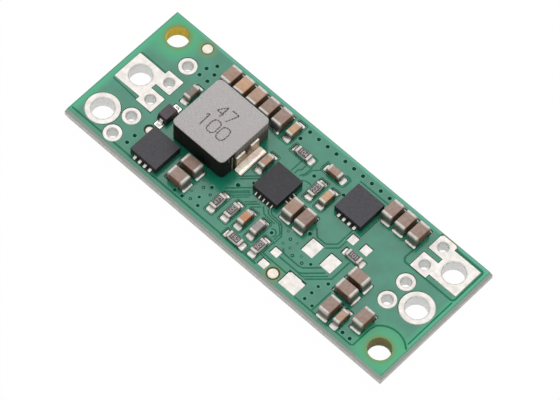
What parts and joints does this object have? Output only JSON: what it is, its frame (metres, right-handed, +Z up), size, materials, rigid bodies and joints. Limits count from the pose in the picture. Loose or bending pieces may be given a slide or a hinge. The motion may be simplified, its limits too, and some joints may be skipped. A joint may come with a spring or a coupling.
{
  "type": "boost converter module",
  "caption": "Green rectangular circuit module with a square power inductor, moulded chips, ceramic parts, plated terminal holes at both ends and corner mounting holes.",
  "frame": {"origin": "centre of the underside of the board", "axes": "+X along the board from the input end to the output end, +Y across it, +Z up from the bare underside to the parts"},
  "size_m": [0.0406, 0.0152, 0.0045],
  "materials": {
    "bottom_solder_mask": "satin green solder mask",
    "ceramic_chip_solder_joints": "bright solder",
    "circuit_board": "snapped fibreglass laminate",
    "controller_capacitor_1": "fired ceramic, brown",
    "controller_capacitor_2": "fired ceramic, brown",
    "controller_chip_body": "moulded epoxy, fine matt",
    "controller_chip_leads": "tin plated leads",
    "diode_body": "moulded epoxy",
    "diode_leads": "tin plated leads",
    "edge_capacitor_1": "fired ceramic, brown",
    "edge_capacitor_2": "fired ceramic, brown",
    "edge_resistor": "fired alumina",
    "gate_resistor_1": "fired alumina",
    "gate_resistor_2": "fired alumina",
    "header_eyelets": "tin plated copper",
    "inductor_core": "pressed metal powder, light grey top",
    "inductor_terminals": "tin plated copper strip",
    "inner_small_capacitor": "fired ceramic, brown",
    "input_bank_capacitor_1": "fired ceramic, brown",
    "input_bank_capacitor_2": "fired ceramic, orange tan",
    "input_bank_capacitor_3": "fired ceramic, orange tan",
    "input_bank_capacitor_4": "fired ceramic, brown",
    "input_bank_capacitor_5": "fired ceramic, brown",
    "input_ground_terminal": "tin plated copper",
    "input_positive_terminal": "tin plated copper",
    "large_capacitor_end_cups": "matt tin",
    "left_small_capacitor": "fired ceramic, brown",
    "lower_resistor": "fired alumina",
    "lower_small_capacitor_1": "fired ceramic, orange tan",
    "lower_small_capacitor_2": "fired ceramic, grey",
    "middle_resistor": "fired alumina",
    "middle_small_capacitor": "fired ceramic, orange tan",
    "moulded_chip_solder_joints": "bright solder",
    "output_bank_capacitor_1": "fired ceramic, brown",
    "output_bank_capacitor_2": "fired ceramic, brown",
    "output_bank_capacitor_3": "fired ceramic, brown",
    "output_capacitor_1": "fired ceramic, brown",
    "output_capacitor_2": "fired ceramic, brown",
    "output_chip_body": "moulded epoxy, fine matt",
    "output_chip_leads": "tin plated leads",
    "output_ground_terminal": "tin plated copper",
    "output_positive_terminal": "tin plated copper",
    "output_resistor": "fired alumina",
    "output_small_capacitor": "fired ceramic, brown",
    "power_solder_joints": "bright solder",
    "resistor_coatings": "dark glass coating",
    "resistor_end_cups": "matt tin",
    "round_marks": "tin plated copper dots",
    "small_capacitor_end_cups": "matt tin",
    "switch_capacitor_1": "fired ceramic, brown",
    "switch_capacitor_2": "fired ceramic, brown",
    "switch_chip_body": "moulded epoxy, fine matt",
    "switch_chip_leads": "tin plated leads",
    "top_small_capacitor": "fired ceramic, orange tan",
    "top_solder_mask": "satin green solder mask",
    "unfitted_pads": "tin plated copper pads",
    "upper_resistor": "fired alumina",
    "upper_small_capacitor": "fired ceramic, brown"
  },
  "bodies": {
    "root": {"bottom_solder_mask": "bottom_solder_mask", "ceramic_chip_solder_joints": "ceramic_chip_solder_joints", "circuit_board": "circuit_board", "controller_capacitor_1": "controller_capacitor_1", "controller_capacitor_2": "controller_capacitor_2", "controller_chip_body": "controller_chip_body", "controller_chip_leads": "controller_chip_leads", "diode_body": "diode_body", "diode_leads": "diode_leads", "edge_capacitor_1": "edge_capacitor_1", "edge_capacitor_2": "edge_capacitor_2", "edge_resistor": "edge_resistor", "gate_resistor_1": "gate_resistor_1", "gate_resistor_2": "gate_resistor_2", "header_eyelets": "header_eyelets", "inductor_core": "inductor_core", "inductor_terminals": "inductor_terminals", "inner_small_capacitor": "inner_small_capacitor", "input_bank_capacitor_1": "input_bank_capacitor_1", "input_bank_capacitor_2": "input_bank_capacitor_2", "input_bank_capacitor_3": "input_bank_capacitor_3", "input_bank_capacitor_4": "input_bank_capacitor_4", "input_bank_capacitor_5": "input_bank_capacitor_5", "input_ground_terminal": "input_ground_terminal", "input_positive_terminal": "input_positive_terminal", "large_capacitor_end_cups": "large_capacitor_end_cups", "left_small_capacitor": "left_small_capacitor", "lower_resistor": "lower_resistor", "lower_small_capacitor_1": "lower_small_capacitor_1", "lower_small_capacitor_2": "lower_small_capacitor_2", "middle_resistor": "middle_resistor", "middle_small_capacitor": "middle_small_capacitor", "moulded_chip_solder_joints": "moulded_chip_solder_joints", "output_bank_capacitor_1": "output_bank_capacitor_1", "output_bank_capacitor_2": "output_bank_capacitor_2", "output_bank_capacitor_3": "output_bank_capacitor_3", "output_capacitor_1": "output_capacitor_1", "output_capacitor_2": "output_capacitor_2", "output_chip_body": "output_chip_body", "output_chip_leads": "output_chip_leads", "output_ground_terminal": "output_ground_terminal", "output_positive_terminal": "output_positive_terminal", "output_resistor": "output_resistor", "output_small_capacitor": "output_small_capacitor", "power_solder_joints": "power_solder_joints", "resistor_coatings": "resistor_coatings", "resistor_end_cups": "resistor_end_cups", "round_marks": "round_marks", "small_capacitor_end_cups": "small_capacitor_end_cups", "switch_capacitor_1": "switch_capacitor_1", "switch_capacitor_2": "switch_capacitor_2", "switch_chip_body": "switch_chip_body", "switch_chip_leads": "switch_chip_leads", "top_small_capacitor": "top_small_capacitor", "top_solder_mask": "top_solder_mask", "unfitted_pads": "unfitted_pads", "upper_resistor": "upper_resistor", "upper_small_capacitor": "upper_small_capacitor"}
  },
  "joints": []
}
